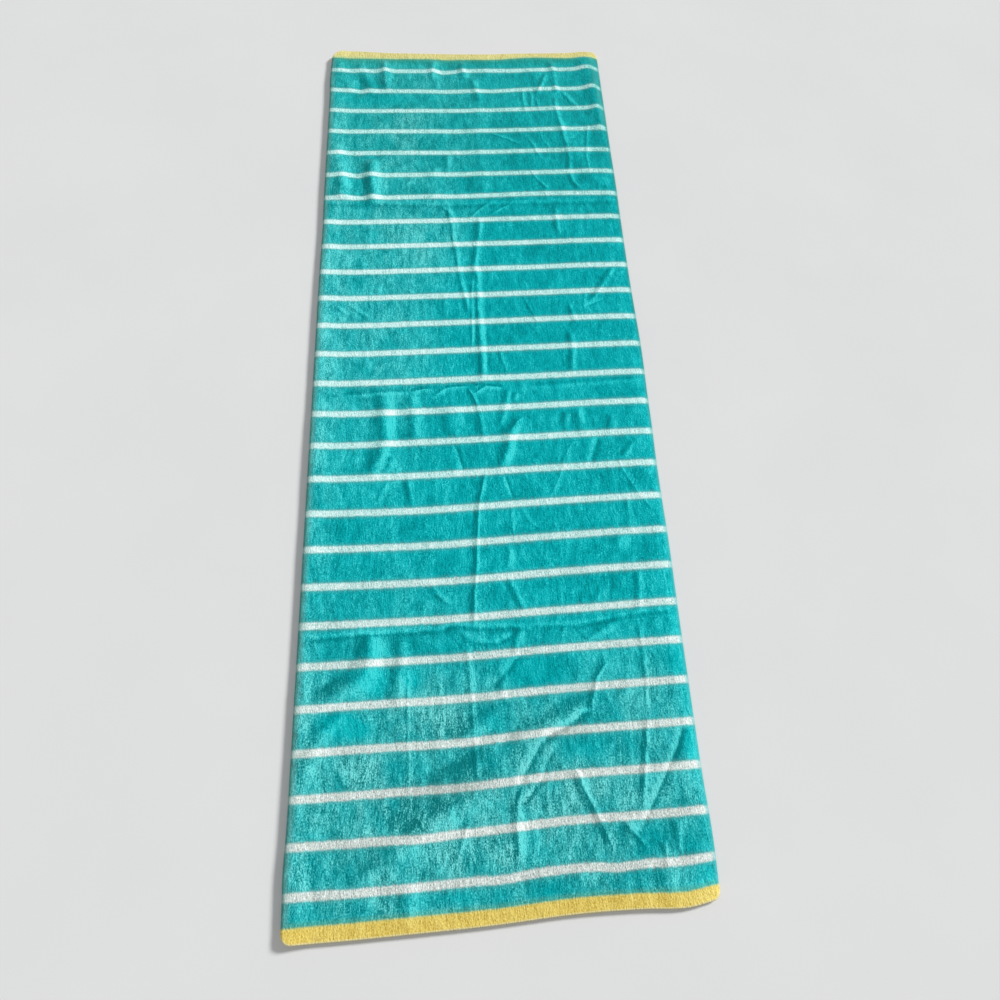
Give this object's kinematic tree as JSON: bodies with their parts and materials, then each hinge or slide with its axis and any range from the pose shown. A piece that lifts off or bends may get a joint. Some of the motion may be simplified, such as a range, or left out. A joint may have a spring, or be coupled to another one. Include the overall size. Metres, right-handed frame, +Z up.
{
  "type": "beach towel",
  "caption": "Velour beach towel folded once lengthwise and laid flat, with even cross stripes, plain end bands and soft storage creases.",
  "frame": {"origin": "centre of the towel's outline, on the flat surface that its lower panel lies on", "axes": "+Y along the towel towards its far end, +X across it from the folded side to the two free edges, +Z up"},
  "size_m": [0.6017, 1.7796, 0.0134],
  "materials": {
    "velour_terry": "sheared cotton velour, matt with a soft nap sheen; turquoise with narrow off-white cross stripes and a yellow band at each end"
  },
  "bodies": {
    "root": {"towel": "velour_terry"}
  },
  "joints": []
}
